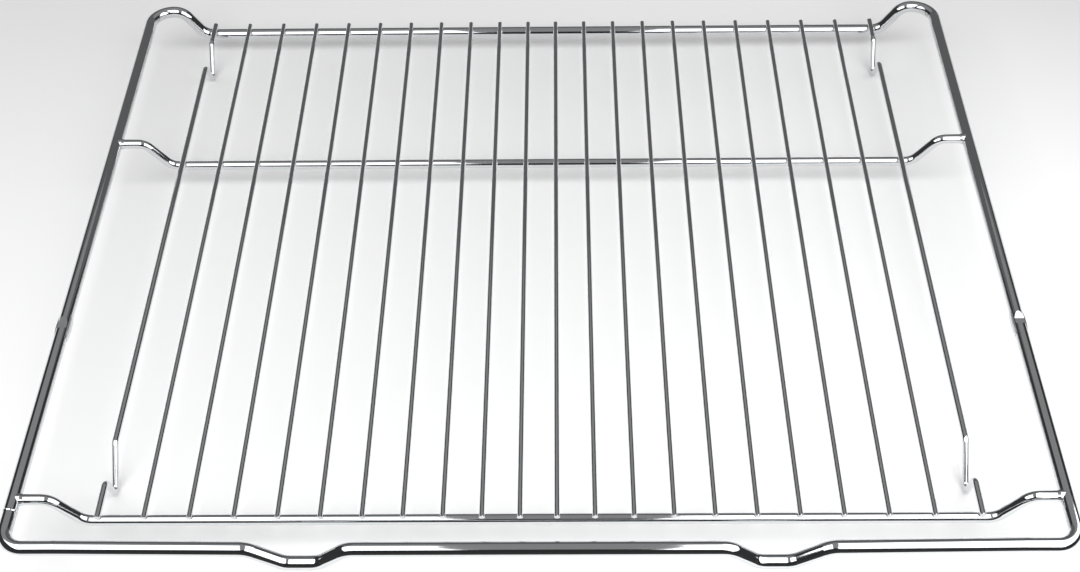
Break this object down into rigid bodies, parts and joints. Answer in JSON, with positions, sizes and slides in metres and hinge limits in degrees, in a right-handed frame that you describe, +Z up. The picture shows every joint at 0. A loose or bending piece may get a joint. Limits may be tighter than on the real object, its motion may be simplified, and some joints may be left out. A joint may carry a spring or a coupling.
{
  "type": "oven wire shelf",
  "caption": "Chrome-plated wire oven shelf: rounded frame with two dips in the front rail, stepped crossbars, parallel grid wires and bent wire feet.",
  "frame": {"origin": "middle of the shelf's width and depth, at the height its four feet stand on", "axes": "+X along the front rail to the right as seen from the front, +Y from the front rail to the rear bar, +Z up"},
  "size_m": [0.4556, 0.3751, 0.0312],
  "materials": {
    "plated_frame_wire": "bright nickel-chrome plating on drawn steel wire",
    "plated_crossbar": "bright nickel-chrome plating on drawn steel wire",
    "plated_foot_wire": "bright nickel-chrome plating on drawn steel wire",
    "plated_grid_wire": "bright nickel-chrome plating on drawn steel wire"
  },
  "bodies": {
    "root": {"frame": "plated_frame_wire", "middle_crossbar": "plated_crossbar", "front_crossbar": "plated_crossbar", "left_foot_wire": "plated_foot_wire", "right_foot_wire": "plated_foot_wire", "grid_wire_01": "plated_grid_wire", "grid_wire_02": "plated_grid_wire", "grid_wire_03": "plated_grid_wire", "grid_wire_04": "plated_grid_wire", "grid_wire_05": "plated_grid_wire", "grid_wire_06": "plated_grid_wire", "grid_wire_07": "plated_grid_wire", "grid_wire_08": "plated_grid_wire", "grid_wire_09": "plated_grid_wire", "grid_wire_10": "plated_grid_wire", "grid_wire_11": "plated_grid_wire", "grid_wire_12": "plated_grid_wire", "grid_wire_13": "plated_grid_wire", "grid_wire_14": "plated_grid_wire", "grid_wire_15": "plated_grid_wire", "grid_wire_16": "plated_grid_wire", "grid_wire_17": "plated_grid_wire", "grid_wire_18": "plated_grid_wire", "grid_wire_19": "plated_grid_wire", "grid_wire_20": "plated_grid_wire"}
  },
  "joints": []
}
